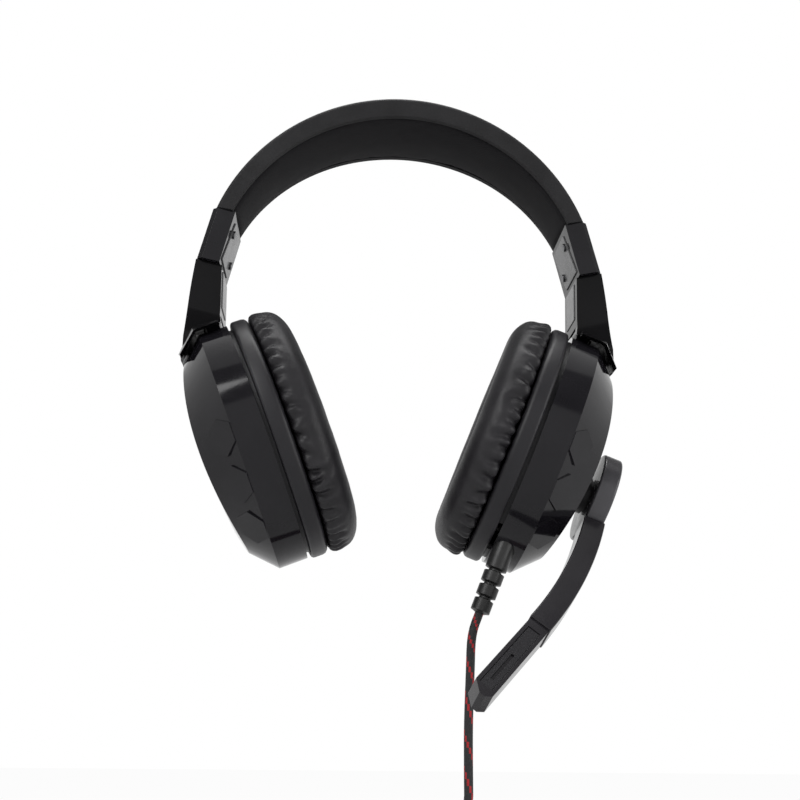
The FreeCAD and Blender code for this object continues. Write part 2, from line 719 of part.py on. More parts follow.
def make_cups():
    outer = housing_form("housing_outer", "0")
    cavity = housing_form("housing_cavity", "sizes.cup_wall")
    facets = [facet(f"{side + 1}_{angle}", angle, side) for side in (-1, 1) for angle in FACET_ANGLES]
    barrel = rod("barrel", "sizes.barrel_radius", "sizes.barrel_width", "sizes.hinge_out",
                 "sizes.barrel_width / 2", HINGE_RISE, (1, 0, 0), 90)
    neck = block("barrel_neck", "sizes.hinge_out", 0, "sizes.cup_height / 2 - 2.6", 5.6,
                 "sizes.barrel_width", "sizes.hinge_above + 2.6")
    bosses = []
    for index, (y, z) in enumerate(CASE_SCREWS):
        bosses.append(rod(f"boss_{index}", "sizes.case_screw + 0.4", f"sizes.side_depth - sizes.spigot_depth + 3",
                          "sizes.spigot_depth + 0.2", f"{y} * sizes.cup_width", f"{z} * sizes.cup_height",
                          (0, 1, 0), 90))
    threads = group("case_threads", *[
        rod(f"thread_{index}", "sizes.case_screw / 2", "sizes.case_screw_length - sizes.baffle_thickness + 9",
            "-8", f"{y} * sizes.cup_width", f"{z} * sizes.cup_height", (0, 1, 0), 90)
        for index, (y, z) in enumerate(CASE_SCREWS)])
    pin_bore = rod("barrel_bore", "sizes.pin_radius + sizes.pin_clearance", "2 * sizes.barrel_width",
                   "sizes.hinge_out", "sizes.barrel_width", HINGE_RISE, (1, 0, 0), 90)
    hollow = cut("housing_hollow", cavity, group("boss_set", *bosses))
    solid = fuse("housing_solid", outer, barrel, neck, *facets)
    plain = cut("housing_plain", solid, hollow, pin_bore, threads)
    cord_bore = rod("relief_bore", "sizes.relief_diameter * 4.4 / 9.5 + 0.1", "sizes.cup_height / 4",
                    "sizes.relief_out", "-sizes.relief_side", f"{WALL_LOW} - sizes.cup_height / 8")
    pivot_bore = rod("pivot_bore", "sizes.shaft_diameter / 2 + 1", 20, "sizes.hub_out - 20", 0, "-sizes.hub_drop",
                     (0, 1, 0), 90)
    drilled = cut("housing_drilled", plain, cord_bore, pivot_bore)
    hand_in("cup_housing_right", in_cup(drilled))
    left = doc.addObject("Part::Mirroring", "housing_left")
    left.Source = in_cup(group("housing_left_source", plain))
    left.Normal = Vector(1, 0, 0)
    hand_in("cup_housing_left", left)

    thickness = "sizes.baffle_thickness"
    ear_face = f"(-{SEAM} - {thickness})"
    sections = []
    for face, inward, radius in (
        (ear_face, 1, "sizes.baffle_round"),
        (f"-{SEAM}", -1, "(0.6 * sizes.baffle_round)"),
    ):
        ring = []
        for degrees in (0, 30, 60, 90):
            angle = math.radians(degrees)
            inset = f"2 * {radius} * {1 - math.sin(angle):.4f}"
            x = f"{face} + {inward * (1 - math.cos(angle)):.4f} * {radius}"
            ring.append((x, f"(sizes.baffle_height - {inset})", f"(sizes.baffle_width - {inset})"))
        sections += ring[::inward]
    plate = oval_stack("baffle_blank", sections)
    inset = "2 * (sizes.cup_wall + sizes.spigot_clearance)"
    spigot = oval_slab("spigot", f"-{SEAM} - 1", "sizes.spigot_depth", f"sizes.cup_height - {inset}",
                       f"sizes.cup_width - {inset}")
    inner = f"({inset} + 2 * sizes.cup_wall)"
    spigot_bore = oval_slab("spigot_bore", f"-{SEAM}", "sizes.spigot_depth + 1",
                            f"sizes.cup_height - {inner}", f"sizes.cup_width - {inner}")
    notch_length = f"(sizes.spigot_depth + 1 + {SEAM})"
    notch = block("relief_notch", f"{notch_length} / 2 - {SEAM}", "-sizes.relief_side", f"{WALL_LOW} - 2",
                  notch_length, "sizes.relief_diameter + 5", 14)
    lip = f"({ear_face} + 1)"
    bore = rod("driver_bore", "sizes.driver_diameter / 2 + 0.1", "3 * sizes.baffle_thickness", lip, 0, 0,
               (0, 1, 0), 90)
    window = rod("driver_window", "sizes.driver_diameter / 2 - 3", "3 * sizes.baffle_thickness",
                 f"{ear_face} - 2", 0, 0, (0, 1, 0), 90)
    heads = group("screw_head_seats", *[
        rod(f"head_seat_{index}", "sizes.case_screw_head / 2 + 0.1", 2, f"{ear_face} - 0.4",
            f"{y} * sizes.cup_width", f"{z} * sizes.cup_height", (0, 1, 0), 90)
        for index, (y, z) in enumerate(CASE_SCREWS)])
    baffle = cut("baffle_cut", fuse("baffle_solid", plate, spigot), spigot_bore, bore, window,
                 threads, heads)
    hand_in("baffle_plate_right", in_cup(cut("baffle_notched", baffle, notch)))
    left = doc.addObject("Part::Mirroring", "baffle_left")
    left.Source = in_cup(group("baffle_left_source", baffle))
    left.Normal = Vector(1, 0, 0)
    hand_in("baffle_plate_left", left)
    screws = []
    for index, (y, z) in enumerate(CASE_SCREWS):
        spot = (f"{y} * sizes.cup_width", f"{z} * sizes.cup_height")
        shank = rod(f"case_shank_{index}", "sizes.case_screw / 2", "sizes.case_screw_length", ear_face,
                    *spot, (0, 1, 0), 90)
        head = rod(f"case_head_{index}", "sizes.case_screw_head / 2", 1.5, ear_face, *spot, (0, 1, 0), 90)
        screws.append(fuse(f"case_screw_{index}", shank, head))
    both_sides("housing_screws", in_cup(group("case_screw_set", *screws)))

    frame = turned("driver_basket", [
        ("sizes.driver_diameter / 2 - 2.4", f"{lip}"),
        ("sizes.driver_diameter / 2", f"{lip}"),
        ("sizes.driver_diameter / 2", f"{lip} + sizes.driver_depth"),
        ("sizes.magnet_diameter / 2 + 0.1", f"{lip} + sizes.driver_depth + 1"),
        ("sizes.magnet_diameter / 2 + 0.1", f"{lip} + sizes.driver_depth"),
        ("sizes.driver_diameter / 2 - 2.4", f"{lip} + sizes.driver_depth - 1"),
    ])
    magnet_start = f"({lip} + sizes.driver_depth - 1.5)"
    magnet = rod("magnet_rod", "sizes.magnet_diameter / 2", "sizes.magnet_depth", 0, 0, magnet_start)
    rim = "(sizes.driver_diameter / 2 - 2.5)"
    dome = turned("diaphragm_dome", [
        (0, f"{lip} + 0.4"),
        (rim, f"{lip} + 0.4"),
        (rim, f"{lip} + 0.8"),
        (f"{rim} * 0.45", f"{lip} + 0.4 + sizes.dome_rise * 0.35"),
        (f"{rim} * 0.35", f"{lip} + 0.4 + sizes.dome_rise * 0.3"),
        (0, f"{lip} + 0.4 + sizes.dome_rise * 0.5"),
    ])
    for label, thing in (("driver_frame", frame), ("driver_magnet", magnet), ("driver_diaphragm", dome)):
        facing = put(group(label + "_turned", thing), 0, 0, 0, (0, 1, 0), "90")
        both_sides(label, in_cup(group(label + "_set", facing)))

    mesh_face = f"({ear_face} - sizes.mesh_thickness)"
    mesh = oval_slab("mesh_sheet", mesh_face, ear_face, "sizes.ear_height + 9", "sizes.ear_width + 9")
    both_sides("ear_mesh", in_cup(mesh))

    base = f"({mesh_face})"
    crown = f"({base} - sizes.cushion_thickness)"
    inner = "(sizes.ear_height / 2)"
    outer_edge = "(sizes.cushion_height / 2)"
    draw = "sizes.cushion_draw"
    owner = body("cushion_profile")
    profile = outline(owner, "cushion_outline", "XZ_Plane", [
        (base, f"{inner} + {draw}"),
        (base, f"{outer_edge} - {draw}", "(sizes.cushion_thickness * 0.55)", 1),
        (f"{crown} + sizes.cushion_thickness * 0.28", f"{outer_edge} - 1.6", 14.5, 1),
        (f"{crown} + sizes.cushion_thickness * 0.2", f"{inner} + 1.6", "(sizes.cushion_thickness * 0.62)", 1),
    ])
    spine_height = "((sizes.cushion_height + sizes.ear_height) / 2)"
    spine_width = "((sizes.cushion_width + sizes.ear_width) / 2)"
    path_owner = body("cushion_path")
    spine = outline(path_owner, "cushion_spine", "YZ_Plane",
                    oval_corners(spine_height, spine_width, oval_end(spine_height)),
                    f"{base} - sizes.cushion_thickness / 2")
    ring = doc.addObject("Part::Sweep", "cushion_sweep")
    ring.Sections = [profile]
    ring.Spine = (spine, ["Edge1", "Edge2", "Edge3", "Edge4"])
    ring.Solid = True
    both_sides("ear_cushion", in_cup(ring))
    return outer


housing_outer = make_cups()


# Microphone: a hub that turns on a base on the right housing, and a bent boom with its tip.
BOOM_START = 15


def boom_point(side, run=0):
    """A point off the boom's middle line, at the end of its bend and a run further on."""
    bend = "sizes.boom_bend_radius"
    angle = f"asin((sizes.boom_straight - {BOOM_START}) / {bend})"
    return (
        f"(-{bend} + ({bend} + ({side})) * cos({angle}) - ({run}) * sin({angle}))",
        f"(-{BOOM_START} - ({bend} + ({side})) * sin({angle}) - ({run}) * cos({angle}))",
    )


def make_microphone():
    face = "(sizes.hub_out - sizes.hub_thickness / 2)"
    gap = "(sizes.washer_thickness + 0.1)"
    base_rod = rod("base_rod", "sizes.base_diameter / 2", 12, f"{face} - {gap} - 12", 0, "-sizes.hub_drop",
                   (0, 1, 0), 90)
    bore = rod("base_bore", "sizes.shaft_diameter / 2 + sizes.shaft_clearance", 16,
               f"{face} - 15", 0, "-sizes.hub_drop", (0, 1, 0), 90)
    hand_in("mic_base", in_cup(cut("base_cut", base_rod, housing_outer, bore)))
    ring = rod("washer_ring", "sizes.base_diameter / 2 - 1", "sizes.washer_thickness", f"{face} - {gap} + 0.05",
               0, "-sizes.hub_drop", (0, 1, 0), 90)
    hand_in("mic_washer", in_cup(cut("washer_cut", ring, bore)))
    shaft = rod("pivot_rod", "sizes.shaft_diameter / 2", 9, f"{face} - 9", 0, "-sizes.hub_drop", (0, 1, 0), 90)
    hand_in("mic_pivot", in_cup(group("pivot_set", shaft)))

    disc = rod("hub_disc", "sizes.hub_radius", "sizes.hub_thickness", "-sizes.hub_thickness / 2", 0, 0,
               (0, 1, 0), 90)
    disc = rounded("hub_soft", disc, 1, lambda edge: edge.Length > 3 * number("sizes.hub_radius"))
    half = "(sizes.boom_thickness / 2)"
    slab_end = boom_point(f"-{half}")
    boom = slab("boom_slab", "XZ_Plane", [
        (f"-{half}", f"-{BOOM_START}"),
        (half, f"-{BOOM_START}", f"sizes.boom_bend_radius + {half}", -1),
        boom_point(half),
        (*slab_end, f"sizes.boom_bend_radius - {half}", 1),
    ], "sizes.boom_width")
    hand_in("mic_hub", in_cup(group("hub_set", in_hub(group("hub_turned", disc)))))
    hub_clear = rod("hub_clear", "sizes.hub_radius", "4 * sizes.hub_thickness", "-2 * sizes.hub_thickness",
                    0, 0, (0, 1, 0), 90)
    hand_in("mic_boom_arm", in_cup(group("boom_set", in_hub(cut("boom_cut", boom, hub_clear)))))

    deep = "(sizes.capsule_depth / 2)"
    long = "(sizes.boom_reach - sizes.boom_straight)"
    tip = slab("tip_slab", "XZ_Plane", [
        (f"-{deep}", 0), (deep, 0), (deep, f"-{long} + 2"), (f"{deep} - 2", f"-{long}"),
        (f"-{deep} + 4", f"-{long}"), (f"-{deep}", f"-{long} + 4"),
    ], "sizes.capsule_width")
    front = "(-sizes.capsule_width / 2)"
    recess = block("panel_recess", 0, front, f"-{long} + 4", "sizes.capsule_depth - 3", "2 * sizes.panel_depth",
                   f"{long} - 8")
    panel = block("panel_block", 0, f"{front} + sizes.panel_depth / 2 + 0.15", f"-{long} + 4.1",
                  "sizes.capsule_depth - 3.2", "sizes.panel_depth - 0.3", f"{long} - 8.2")
    slot = block("panel_slot", 0, front, f"-{long} + 8", 1.2, "4 * sizes.panel_depth", f"{long} * 0.35")
    well = rod("capsule_well", "sizes.capsule_radius + 0.1", 6, f"-{deep} - 1", 0, f"-{long} + 10", (0, 1, 0), 90)
    capsule = rod("capsule_rod", "sizes.capsule_radius", 3, f"-{deep} + 1.5", 0, f"-{long} + 10", (0, 1, 0), 90)
    for label, thing in (
        ("mic_tip", cut("tip_cut", tip, recess, well)),
        ("mic_tip_panel", cut("panel_cut", panel, slot)),
        ("mic_capsule", capsule),
    ):
        hand_in(label, in_cup(group(label + "_set", in_hub(group(label + "_held", in_tip(thing))))))


def in_tip(thing):
    """Tip frame inside the boom frame, where the boom's bend ends."""
    x, z = boom_point(0)
    angle = f"asin((sizes.boom_straight - {BOOM_START}) / sizes.boom_bend_radius)"
    return put(group(thing.Name + "_tip", thing), x, 0, z, angle=angle)


make_microphone()


# Cord: leaves the right cup's lower front wall, hangs free, and its spare length is wound and tied.
RELIEF_STEPS = ((8.4, 4.4), (9.6, 2.7), (14.2, 4.2), (15.4, 2.6), (20, 4.1), (21.2, 2.5), (26.4, 3.9))


def make_relief():
    scale = "sizes.relief_diameter / 9.5"
    flange = f"({WALL_LOW} + sizes.cup_wall + 4.6)"
    corners = [(0, f"{flange} + 1.4"), (f"5.6 * {scale}", f"{flange} + 1.4"), (f"5.6 * {scale}", flange),
               (f"4.4 * {scale}", flange)]
    for index, (depth, radius) in enumerate(RELIEF_STEPS):
        after = RELIEF_STEPS[index + 1][1] if index + 1 < len(RELIEF_STEPS) else 2.4
        corners.append((f"{radius} * {scale}", f"{WALL_LOW} - {depth}"))
        corners.append((f"{after} * {scale}", f"{WALL_LOW} - {depth} - 0.5"))
    corners.append((f"2.4 * {scale}", f"{WALL_LOW} - sizes.relief_length"))
    corners.append((0, f"{WALL_LOW} - sizes.relief_length"))
    relief = turned("relief_turned", corners)
    seat = put(group("relief_seat", relief), "sizes.relief_out", "-sizes.relief_side", 0)
    hand_in("strain_relief", in_cup(group("relief_set", seat)))


def cup_to_world(point):
    turn = Rotation(Vector(0, 1, 0), number("sizes.cup_tilt"))
    return Placement(Vector(number(CUP_X), 0, number(CUP_Z)), turn).multVec(point)


def biarc(start, heading, end, end_heading):
    """Two arcs from start to end that leave and arrive along the headings."""
    chord = end - start
    both = heading + end_heading
    closing = 2 * (1 - heading.dot(end_heading))
    reach = (-chord.dot(both) + math.sqrt(chord.dot(both) ** 2 + closing * chord.dot(chord))) / closing
    middle = (start + heading * reach + end - end_heading * reach) / 2
    return [arc_from(start, heading, middle), arc_to(middle, end, end_heading)]


def arc_from(start, heading, end):
    """The arc that leaves start along a heading and passes through end."""
    chord = end - start
    side = chord - heading * chord.dot(heading)
    side.normalize()
    radius = chord.dot(chord) / (2 * chord.dot(side))
    centre = start + side * radius
    halfway = (start + end) / 2 - centre
    halfway.normalize()
    return Part.Arc(start, centre + halfway * radius, end)


def arc_to(start, end, heading):
    """The arc that arrives at end along a heading."""
    back = arc_from(end, heading * -1, start)
    middle = back.value((back.FirstParameter + back.LastParameter) / 2)
    return Part.Arc(start, middle, end)


COIL_STEPS = 6
LAYERS = 4


def coil_nodes():
    """The coil's half-turn nodes: it spirals in, climbs a layer, spirals out, and so on."""
    pitch = number("sizes.coil_pitch")
    outer = number("sizes.coil_radius") + pitch * COIL_STEPS / 4
    centre = Vector(number("sizes.coil_side"), number("-sizes.relief_side"), number("sizes.coil_height"))
    radius = outer
    layer = 0
    stops = [(radius, layer)]
    for index in range(LAYERS):
        steps = COIL_STEPS if index < LAYERS - 1 else COIL_STEPS - 1
        change = -pitch / 2 if index % 2 == 0 else pitch / 2
        for _ in range(steps):
            radius += change
            stops.append((radius, layer))
        if index < LAYERS - 1:
            layer += 1
            stops.append((radius, layer))
    nodes = []
    for count, (radius, layer) in enumerate(stops):
        turn = math.radians(135 + 180 * count)
        out = Vector(math.cos(turn), 0, math.sin(turn))
        along_turn = Vector(-math.sin(turn), 0, math.cos(turn))
        nodes.append((centre + out * radius + Vector(0, layer * pitch, 0), along_turn))
    return nodes


def sweep_tube(edges, radius):
    """A round tube along tangent edges, checked against its section times its length."""
    wire = Part.Wire(edges)
    start = edges[0].valueAt(edges[0].FirstParameter)
    heading = edges[0].tangentAt(edges[0].FirstParameter)
    ring = Part.Wire([Part.Circle(start, heading, radius).toShape()])
    shell = Part.BRepOffsetAPI.MakePipeShell(wire)
    shell.add(ring)
    shell.build()
    shell.makeSolid()
    tube = shell.shape()
    expected = math.pi * radius**2 * wire.Length
    if abs(tube.Volume - expected) > 0.01 * expected:
        raise RuntimeError(f"tube of {tube.Volume:.0f} cubic mm, expected {expected:.0f}")
    return tube, wire


def tangent_route(points):
    """Straight runs joined by tangent arcs, each as large as its two runs allow."""
    edges = []
    radii = []
    last = points[0]
    for before, corner, after in zip(points, points[1:], points[2:]):
        come = (corner - before).normalize()
        leave = (after - corner).normalize()
        half_turn = come.getAngle(leave) / 2
        reach = 0.45 * min((corner - before).Length, (after - corner).Length)
        radii.append(reach / math.tan(half_turn))
        enter = corner - come * reach
        depart = corner + leave * reach
        edges.append(Part.LineSegment(last, enter).toShape())
        bisector = (leave - come).normalize()
        centre = corner + bisector * (radii[-1] / math.cos(half_turn))
        edges.append(Part.Arc(enter, centre - bisector * radii[-1], depart).toShape())
        last = depart
    edges.append(Part.LineSegment(last, points[-1]).toShape())
    return edges, radii


def keep_shape(name, shape):
    thing = doc.addObject("Part::Feature", name)
    thing.Shape = shape
    return thing


def least_self_gap(wire, diameter):
    """The least clear distance between two turns, from points a millimetre apart."""
    points = wire.discretize(Distance=1.0)
    skip = int(4 * diameter)
    least = 1000.0
    for index, point in enumerate(points):
        for other in points[index + skip:]:
            least = min(least, (point - other).Length)
    return least - diameter


def make_cord():
    diameter = number("sizes.cord_diameter")
    end = cup_to_world(Vector(number("sizes.relief_out"), number("-sizes.relief_side"),
                              number(f"{WALL_LOW} - sizes.relief_length")))
    down = cup_to_world(Vector(0, 0, -1)) - cup_to_world(Vector(0, 0, 0))
    nodes = coil_nodes()
    coil_start, coil_heading = nodes[0]
    coil_end, end_heading = nodes[-1]
    lead_in = coil_start - coil_heading * diameter
    lead_out = coil_end + end_heading * diameter
    side = -number("sizes.relief_side")
    drop_line = number("sizes.coil_side")
    bend_height = coil_start.z + (drop_line - coil_start.x)
    drop = [
        end,
        end + down * 9,
        Vector(drop_line + 1.1, side - 0.3, end.z - 21.6),
        Vector(drop_line + 0.1, side - 0.2, end.z - 41.6),
        Vector(drop_line, side, bend_height + 20),
        Vector(drop_line, side, bend_height),
        lead_in,
    ]
    turn_point = lead_out + end_heading * 16.6
    tail = [lead_out, turn_point, turn_point + Vector(0, 0, -20)]
    drop_edges, drop_radii = tangent_route(drop)
    tail_edges, tail_radii = tangent_route(tail)
    coil_edges = [Part.LineSegment(lead_in, coil_start).toShape()]
    for (start, heading), (stop, stop_heading) in zip(nodes, nodes[1:]):
        coil_edges += [arc.toShape() for arc in biarc(start, heading, stop, stop_heading)]
    coil_edges.append(Part.LineSegment(coil_end, lead_out).toShape())

    total = 0
    for label, edges in (("cord_drop", drop_edges), ("cord_coil", coil_edges), ("cord_tail", tail_edges)):
        tube, wire = sweep_tube(edges, diameter / 2)
        hand_in(label, keep_shape(label + "_tube", tube))
        total += wire.Length
        print(f"{label}: length {wire.Length:.1f} mm")
        if label == "cord_coil":
            print(f"cord_coil: least gap to itself {least_self_gap(wire, diameter):.2f} mm")
    print("cord length", round(total, 1), "mm; bend radii", [round(r, 1) for r in drop_radii + tail_radii])

    pitch = "sizes.coil_pitch"
    reach = f"({COIL_STEPS} * {pitch} / 4 + sizes.cord_diameter / 2)"
    stack = f"({LAYERS - 1} * {pitch} + sizes.cord_diameter)"
    inner_side = f"(sizes.coil_radius - {reach} - 1.8)"
    outer_side = f"(sizes.coil_radius + {reach} + 0.4)"
    middle = f"sizes.coil_side + ({inner_side} + {outer_side}) / 2"
    rear = f"(-sizes.relief_side + {LAYERS - 1} * {pitch} / 2)"
    hole = block("tie_hole", middle, rear, "sizes.coil_height - sizes.tie_width",
                 f"{outer_side} - {inner_side}", f"{stack} + 0.8", "2 * sizes.tie_width")
    loop = block("tie_block", middle, rear, "sizes.coil_height - sizes.tie_width / 2",
                 f"{outer_side} - {inner_side} + 2 * sizes.tie_thickness",
                 f"{stack} + 0.8 + 2 * sizes.tie_thickness", "sizes.tie_width")
    soft = rounded("tie_soft", loop, "sizes.tie_thickness * 1.5",
                   lambda edge: edge.BoundBox.ZLength > 5)
    hand_in("coil_tie", cut("tie_cut", soft, hole))

    plug_top = tail[-1]
    half = "sizes.plug_diameter / 2"
    grip = turned("plug_turned", [
        (0, 0), (f"{half} * 0.55", 0), (f"{half} * 0.7", "-sizes.plug_length * 0.28"),
        (half, "-sizes.plug_length * 0.36"), (half, "-sizes.plug_length * 0.94"),
        (f"{half} * 0.8", "-sizes.plug_length"), (0, "-sizes.plug_length"),
    ])
    pin_radius = "sizes.jack_diameter / 2"
    pin = turned("jack_turned", [
        (0, "-sizes.plug_length"), (pin_radius, "-sizes.plug_length"),
        (pin_radius, "-sizes.plug_length - sizes.jack_length + 3.2"),
        (f"{pin_radius} * 0.7", "-sizes.plug_length - sizes.jack_length + 2.4"),
        (f"{pin_radius} * 0.9", "-sizes.plug_length - sizes.jack_length + 1.5"),
        (f"{pin_radius} * 0.3", "-sizes.plug_length - sizes.jack_length"),
        (0, "-sizes.plug_length - sizes.jack_length"),
    ])
    for label, thing in (("plug_body", grip), ("plug_pin", pin)):
        thing.Placement = Placement(plug_top, Rotation())
        hand_in(label, thing)


make_relief()
make_cord()


def check_and_write():
    doc.recompute()
    for thing in doc.Objects:
        if "Invalid" in thing.State or "Error" in thing.State:
            raise RuntimeError(f"{thing.Name} failed: {thing.State}")
    os.makedirs("parts", exist_ok=True)
    for thing in HAND_IN:
        shape = thing.Shape
        if shape.isNull() or not shape.isValid() or not shape.Solids:
            raise RuntimeError(f"{thing.Label} has no valid solid")
        shape.exportStep(f"parts/{thing.Label}.step")
        print(f"{thing.Label}: {len(shape.Solids)} solid(s), {shape.Volume:.0f} cubic mm")


check_and_write()
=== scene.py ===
"""A gaming headset with a boom microphone: finishes, soft parts, cord, light and camera."""

import math
import random

import bpy
from mathutils import Matrix, Vector, noise


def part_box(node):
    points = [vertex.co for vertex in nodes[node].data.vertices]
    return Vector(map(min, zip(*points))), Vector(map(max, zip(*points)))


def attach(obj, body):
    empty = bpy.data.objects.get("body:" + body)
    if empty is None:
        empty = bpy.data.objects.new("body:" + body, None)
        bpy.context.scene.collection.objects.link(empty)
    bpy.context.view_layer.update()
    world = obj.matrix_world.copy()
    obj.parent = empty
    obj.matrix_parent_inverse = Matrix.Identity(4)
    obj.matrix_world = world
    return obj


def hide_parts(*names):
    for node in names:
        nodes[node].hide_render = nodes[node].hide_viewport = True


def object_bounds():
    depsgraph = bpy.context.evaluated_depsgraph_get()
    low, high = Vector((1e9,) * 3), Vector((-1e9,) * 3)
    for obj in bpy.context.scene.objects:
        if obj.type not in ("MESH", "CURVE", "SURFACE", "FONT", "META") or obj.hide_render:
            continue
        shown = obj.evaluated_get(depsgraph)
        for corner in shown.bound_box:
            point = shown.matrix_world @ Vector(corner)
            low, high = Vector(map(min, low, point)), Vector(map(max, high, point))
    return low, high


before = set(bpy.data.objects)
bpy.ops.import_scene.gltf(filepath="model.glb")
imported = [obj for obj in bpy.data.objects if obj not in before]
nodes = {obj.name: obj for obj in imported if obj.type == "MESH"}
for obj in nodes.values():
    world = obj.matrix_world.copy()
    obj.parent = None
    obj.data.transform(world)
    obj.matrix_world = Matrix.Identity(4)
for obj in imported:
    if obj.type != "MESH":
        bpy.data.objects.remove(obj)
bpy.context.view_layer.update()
MM = 0.001

# Cup frame: centre of the housing seam, leaning out at its foot.
CUP_TILT = math.radians(21.6)
CUP_CENTRE = Vector((55.283, 0, -147.866)) * MM
RIGHT_CUP = Matrix.Translation(CUP_CENTRE) @ Matrix.Rotation(CUP_TILT, 4, "Y")
SEAM_HALF = 0.8 * MM
BAFFLE_DEPTH = 7.5 * MM
MESH_DEPTH = 0.6 * MM
EAR_FACE = -(SEAM_HALF + BAFFLE_DEPTH + MESH_DEPTH)
CUSHION_DEPTH = 15.2 * MM
CUSHION_SIZE = (107 * MM, 88 * MM)
EAR_SIZE = (62 * MM, 42 * MM)
# How far the lip of an arm's saddle would stand out past the arm.
LIP_TRIM = 1.5 * MM
# A copy of a CAD node is merged at this distance, and faces flatter than this become one.
MERGE = 0.004 * MM
FLAT = math.radians(0.6)


def select_only(*pieces):
    """Object mode, with just these pieces selected."""
    if bpy.context.object and bpy.context.object.mode != "OBJECT":
        bpy.ops.object.mode_set(mode="OBJECT")
    bpy.ops.object.select_all(action="DESELECT")
    for piece in pieces:
        piece.select_set(True)
    bpy.context.view_layer.objects.active = pieces[-1]


def edit(piece):
    """Edit mode on one piece, with nothing of its mesh selected."""
    select_only(piece)
    bpy.ops.object.mode_set(mode="EDIT")
    bpy.ops.mesh.select_mode(type="FACE")
    bpy.ops.mesh.select_all(action="DESELECT")


def done():
    bpy.ops.object.mode_set(mode="OBJECT")


def apply_modifier(piece, kind, **settings):
    modifier = piece.modifiers.new(kind.title(), kind)
    for key, value in settings.items():
        setattr(modifier, key, value)
    select_only(piece)
    bpy.ops.object.modifier_apply(modifier=modifier.name)


def copy_of(node, name):
    """A merged copy of a frame node's mesh, ready to be worked on."""
    piece = bpy.data.objects.new(name, nodes[node].data.copy())
    bpy.context.scene.collection.objects.link(piece)
    piece.data.materials.clear()
    edit(piece)
    bpy.ops.mesh.select_all(action="SELECT")
    bpy.ops.mesh.remove_doubles(threshold=MERGE)
    bpy.ops.mesh.dissolve_limited(angle_limit=FLAT)
    done()
    return piece


def smooth(piece, degrees):
    select_only(piece)
    bpy.ops.object.shade_smooth_by_angle(angle=math.radians(degrees))


def even_shading(piece):
    """Normals that follow the large faces, so that long narrow ones don't streak."""
    apply_modifier(piece, "WEIGHTED_NORMAL", keep_sharp=True, weight=90)


def trim_lip(arm):
    """The lip of the arm's saddle ends in line with the outside of the arm."""
    outermost = max(abs(vertex.co.x) for vertex in arm.data.vertices) - LIP_TRIM
    for vertex in arm.data.vertices:
        vertex.co.x = max(-outermost, min(outermost, vertex.co.x))


def place(piece, body, material, slot, *replaced):
    """Gives a piece its finish and the body it moves with, and hides the nodes it stands for."""
    piece.data.materials.clear()
    piece.data.materials.append(material)
    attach(piece, body)
    if replaced:
        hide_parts(*replaced)


# Materials. The scales are in pattern repeats to the metre.
CLOUD_SCALE = 35
HANDLING_SCALE = 120
SPARK_SCALE = 2600
BRUSH_SCALE = (200, 200, 4000)
YARN_SCALE = 2500
FOLD_SHEEN_SCALE = 60
# Noise seldom leaves this range, so it is the range that is spread over a finish's values.
NOISE_LOW, NOISE_HIGH = 0.3, 0.7


def start_material(name, colour, roughness, metallic=0.0, specular=0.5):
    """A material with its plain values set; returns it with its node tree and shader."""
    material = bpy.data.materials.new(name)
    material.use_nodes = True
    shader = material.node_tree.nodes["Principled BSDF"]
    shader.inputs["Base Color"].default_value = (*colour, 1)
    shader.inputs["Roughness"].default_value = roughness
    shader.inputs["Metallic"].default_value = metallic
    shader.inputs["Specular IOR Level"].default_value = specular
    return material, material.node_tree, shader


def add(tree, kind, **values):
    """A node with its settings, and its inputs by name as defaults or links."""
    node = tree.nodes.new(kind)
    for key, value in values.items():
        name = key.replace("_", " ")
        if name in node.inputs:
            socket = node.inputs[name]
            if isinstance(value, bpy.types.NodeSocket):
                tree.links.new(value, socket)
            else:
                socket.default_value = value
        else:
            setattr(node, key, value)
    return node


def calc(tree, operation, first, second=0.0):
    node = tree.nodes.new("ShaderNodeMath")
    node.operation = operation
    for socket, value in zip(node.inputs, (first, second)):
        if isinstance(value, bpy.types.NodeSocket):
            tree.links.new(value, socket)
        else:
            socket.default_value = value
    return node.outputs[0]


def coordinates(tree, output="Object"):
    return tree.nodes.new("ShaderNodeTexCoord").outputs[output]


def noise_value(tree, where, scale, detail):
    return add(tree, "ShaderNodeTexNoise", Vector=where, Scale=scale, Detail=detail).outputs["Fac"]


def remap(tree, value, low, high):
    """Noise spread over the range from low to high."""
    node = tree.nodes.new("ShaderNodeMapRange")
    for name, given in (("From Min", NOISE_LOW), ("From Max", NOISE_HIGH), ("To Min", low), ("To Max", high)):
        node.inputs[name].default_value = given
    tree.links.new(value, node.inputs["Value"])
    return node.outputs["Result"]


def two_colours(tree, value, dark, light, start=0.35, end=0.65):
    ramp = tree.nodes.new("ShaderNodeValToRGB")
    ramp.color_ramp.elements[0].position = start
    ramp.color_ramp.elements[0].color = (*dark, 1)
    ramp.color_ramp.elements[1].position = end
    ramp.color_ramp.elements[1].color = (*light, 1)
    tree.links.new(value, ramp.inputs["Fac"])
    return ramp.outputs["Color"]


def bump(tree, shader, height, distance, strength=1.0):
    node = add(tree, "ShaderNodeBump", Height=height, Distance=distance, Strength=strength)
    tree.links.new(node.outputs["Normal"], shader.inputs["Normal"])


